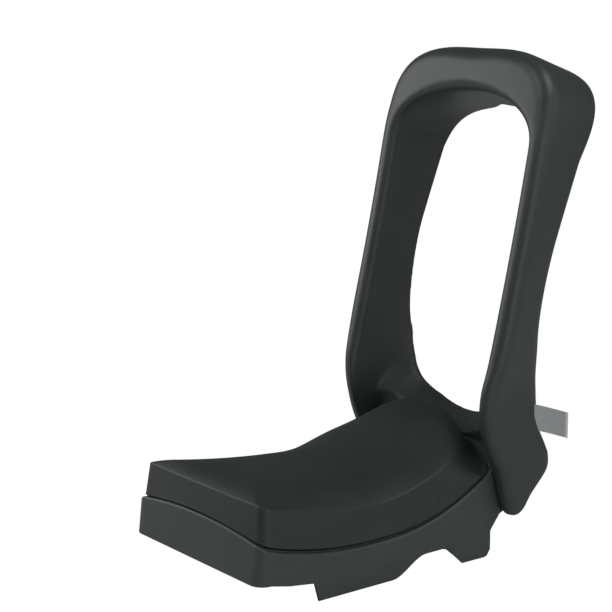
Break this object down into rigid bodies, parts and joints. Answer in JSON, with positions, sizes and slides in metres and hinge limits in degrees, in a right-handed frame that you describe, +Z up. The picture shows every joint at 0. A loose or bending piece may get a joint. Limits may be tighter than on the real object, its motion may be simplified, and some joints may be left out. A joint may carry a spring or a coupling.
{
  "type": "rear child bike seat",
  "caption": "Rear child bike seat: dished cushion on a moulded base that stands astride a luggage carrier, with a tall open backrest hoop.",
  "frame": {"origin": "on the plane the side skirts and lugs stand on, in the plane of symmetry, at the lowest part of the dish", "axes": "+X to the side across the carrier, -Y forward along the carrier, +Z up"},
  "size_m": [0.2421, 0.4043, 0.4816],
  "materials": {
    "moulded_shell": "dark grey moulded plastic, finely matte",
    "foam_cushion": "integral-skin foam, matte, dark grey",
    "foam_hoop": "integral-skin foam over a stiff core, satin matte",
    "woven_tag": "woven ribbon, light grey",
    "bar_steel": "black powder coat",
    "zinc_steel": "zinc plated",
    "pad_rubber": "matte rubber",
    "insert_brass": "turned brass",
    "stud_plastic": "black nylon"
  },
  "bodies": {
    "root": {"base_shell": "moulded_shell", "cushion": "foam_cushion", "back_hoop": "foam_hoop", "label_tag": "woven_tag", "clamp_bar_front": "bar_steel", "clamp_bar_rear": "bar_steel", "clamp_bolt_1": "zinc_steel", "clamp_bolt_2": "zinc_steel", "clamp_bolt_3": "zinc_steel", "clamp_bolt_4": "zinc_steel", "clamp_washer_1": "zinc_steel", "clamp_washer_2": "zinc_steel", "clamp_washer_3": "zinc_steel", "clamp_washer_4": "zinc_steel", "clamp_nut_1": "zinc_steel", "clamp_nut_2": "zinc_steel", "clamp_nut_3": "zinc_steel", "clamp_nut_4": "zinc_steel", "carrier_pad_1": "pad_rubber", "carrier_pad_2": "pad_rubber", "carrier_pad_3": "pad_rubber", "carrier_pad_4": "pad_rubber", "hoop_screw_1": "zinc_steel", "hoop_screw_2": "zinc_steel", "hoop_screw_3": "zinc_steel", "hoop_screw_4": "zinc_steel", "hoop_screw_5": "zinc_steel", "hoop_screw_6": "zinc_steel", "hoop_insert_1": "insert_brass", "hoop_insert_2": "insert_brass", "hoop_insert_3": "insert_brass", "hoop_insert_4": "insert_brass", "hoop_insert_5": "insert_brass", "hoop_insert_6": "insert_brass", "cushion_stud_1": "stud_plastic", "cushion_stud_2": "stud_plastic", "cushion_stud_3": "stud_plastic", "cushion_stud_4": "stud_plastic", "cushion_stud_5": "stud_plastic", "cushion_stud_6": "stud_plastic"}
  },
  "joints": []
}
